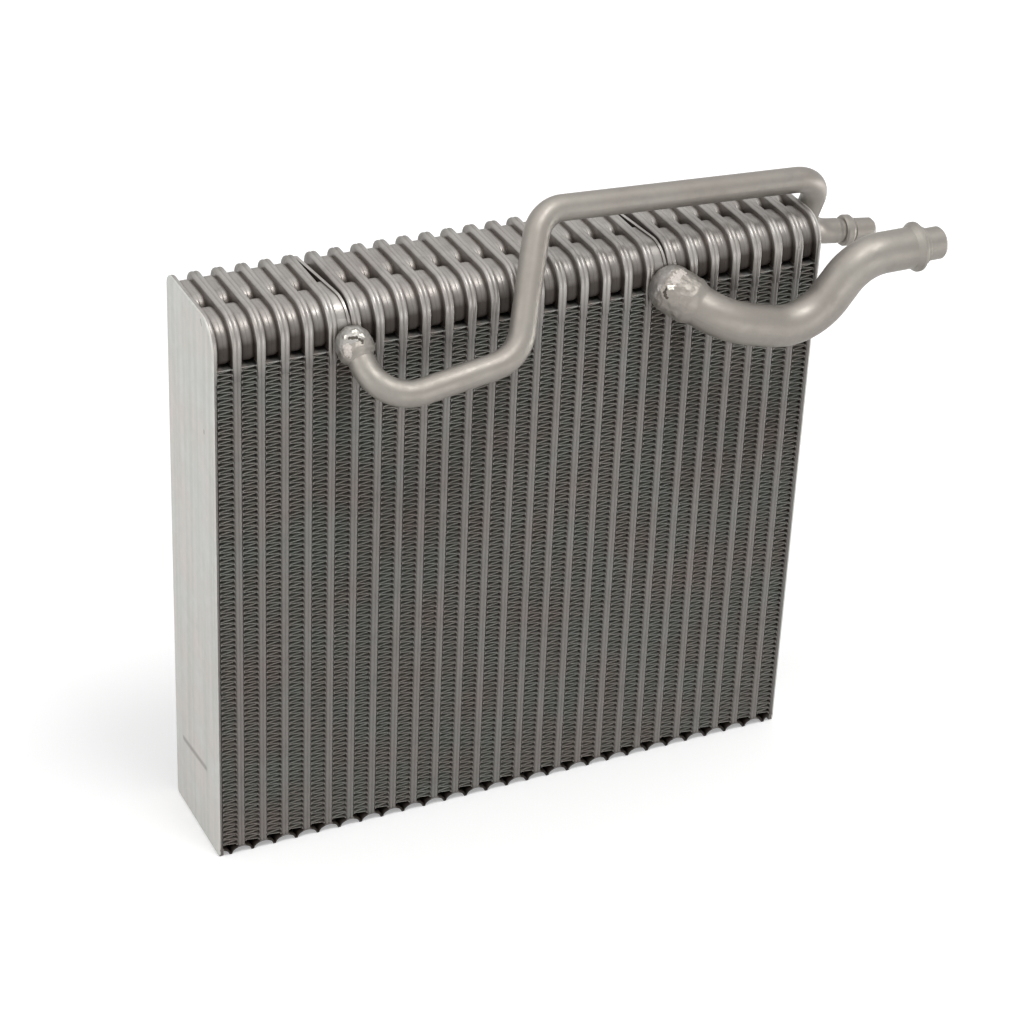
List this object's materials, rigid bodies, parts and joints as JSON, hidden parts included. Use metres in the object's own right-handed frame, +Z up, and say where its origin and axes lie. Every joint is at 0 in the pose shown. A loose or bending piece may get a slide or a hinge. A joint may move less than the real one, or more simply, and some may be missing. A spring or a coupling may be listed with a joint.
{
  "type": "evaporator core",
  "caption": "Laminated aluminium evaporator core: flat stamped tubes with folded fins between end plates, cup-shaped top tanks and two bent pipes.",
  "frame": {"origin": "Bottom face of the core, on the lip tips, under the middle of the fourteenth fin column and halfway between the front and back faces", "axes": "+X along the stack towards the pipe stubs, +Y from the pipe side to the back, +Z up towards the tanks"},
  "size_m": [0.3165, 0.082, 0.2803],
  "materials": {
    "tube": "satin",
    "fin": "matte",
    "end_plate": "matte",
    "connector": "satin",
    "pipe": "satin"
  },
  "bodies": {
    "root": {"tube_01": "tube", "tube_02": "tube", "tube_03": "tube", "tube_04": "tube", "tube_05": "tube", "tube_06": "tube", "tube_07": "tube", "tube_08": "tube", "tube_09": "tube", "tube_10": "tube", "tube_11": "tube", "tube_12": "tube", "tube_13": "tube", "tube_14": "tube", "tube_15": "tube", "tube_16": "tube", "tube_17": "tube", "tube_18": "tube", "tube_19": "tube", "tube_20": "tube", "tube_21": "tube", "tube_22": "tube", "tube_23": "tube", "tube_24": "tube", "tube_25": "tube", "tube_26": "tube", "fin_01": "fin", "fin_02": "fin", "fin_03": "fin", "fin_04": "fin", "fin_05": "fin", "fin_06": "fin", "fin_07": "fin", "fin_08": "fin", "fin_09": "fin", "fin_10": "fin", "fin_11": "fin", "fin_12": "fin", "fin_13": "fin", "fin_14": "fin", "fin_15": "fin", "fin_16": "fin", "fin_17": "fin", "fin_18": "fin", "fin_19": "fin", "fin_20": "fin", "fin_21": "fin", "fin_22": "fin", "fin_23": "fin", "fin_24": "fin", "fin_25": "fin", "fin_26": "fin", "fin_27": "fin", "left_end_plate": "end_plate", "right_end_plate": "end_plate", "liquid_connector": "connector", "suction_connector": "connector", "liquid_pipe": "pipe", "suction_pipe": "pipe"}
  },
  "joints": []
}
